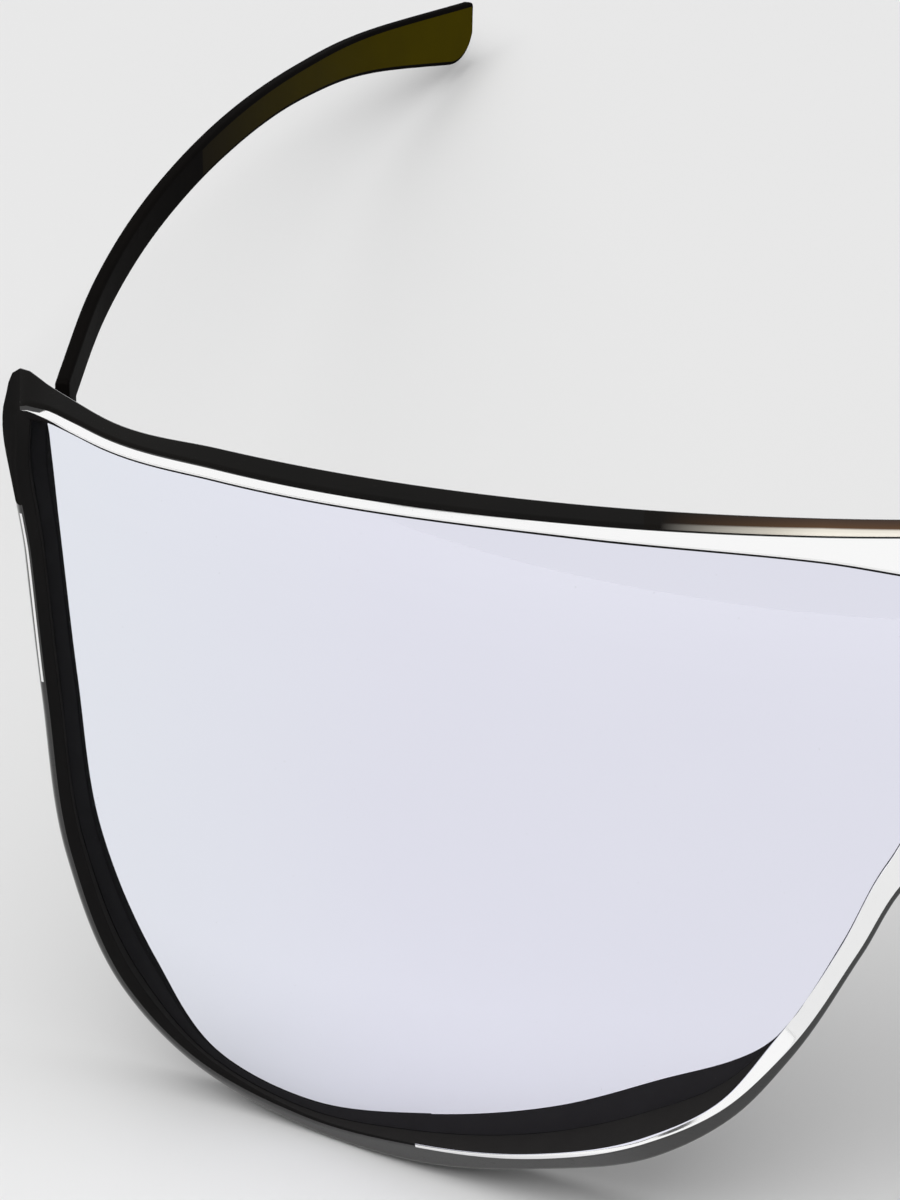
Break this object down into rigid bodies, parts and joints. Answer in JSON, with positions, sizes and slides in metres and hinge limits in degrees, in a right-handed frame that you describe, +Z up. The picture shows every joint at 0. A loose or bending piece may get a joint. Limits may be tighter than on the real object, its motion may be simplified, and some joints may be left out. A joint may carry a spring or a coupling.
{
  "type": "shield sunglasses",
  "caption": "Wraparound shield sunglasses: one curved mirrored lens in a deep full rim, slim temples that fold on hinges, and soft nose pads",
  "frame": {"origin": "on the floor, in the middle of the bounding box of the open sunglasses", "axes": "+X to the viewer's right when facing the front, +Y from the lens back to the temple tips, +Z up"},
  "size_m": [0.15, 0.1708, 0.0616],
  "materials": {
    "rim_plastic": "polished near-black brown plastic",
    "lens_mirror": "pale silver mirror coating on polycarbonate",
    "pad_silicone": "clear silicone",
    "hinge_steel": "satin stainless steel",
    "fixing_steel": "turned stainless steel",
    "temple_plastic": "polished dark olive translucent plastic"
  },
  "bodies": {
    "front": {"front_rim": "rim_plastic", "shield_lens": "lens_mirror", "left_nose_pad": "pad_silicone", "right_nose_pad": "pad_silicone", "left_front_hinge_leaf": "hinge_steel", "right_front_hinge_leaf": "hinge_steel", "left_front_leaf_rivets": "fixing_steel", "right_front_leaf_rivets": "fixing_steel", "left_hinge_screw": "fixing_steel", "right_hinge_screw": "fixing_steel", "left_hinge_washers": "fixing_steel", "right_hinge_washers": "fixing_steel"},
    "temple_left": {"left_temple": "temple_plastic", "left_temple_hinge_leaf": "hinge_steel", "left_temple_leaf_rivets": "fixing_steel"},
    "temple_right": {"right_temple": "temple_plastic", "right_temple_hinge_leaf": "hinge_steel", "right_temple_leaf_rivets": "fixing_steel"}
  },
  "joints": [
    {"name": "left_temple_fold", "type": "hinge", "parent": "front", "child": "temple_left", "pos_m": [-0.0684, -0.05147, 0.05714], "axis": [0, -0.309, -0.9511], "range_deg": [0, 79]},
    {"name": "right_temple_fold", "type": "hinge", "parent": "front", "child": "temple_right", "pos_m": [0.0684, -0.05147, 0.05714], "axis": [0, 0.309, 0.9511], "range_deg": [0, 64]}
  ]
}
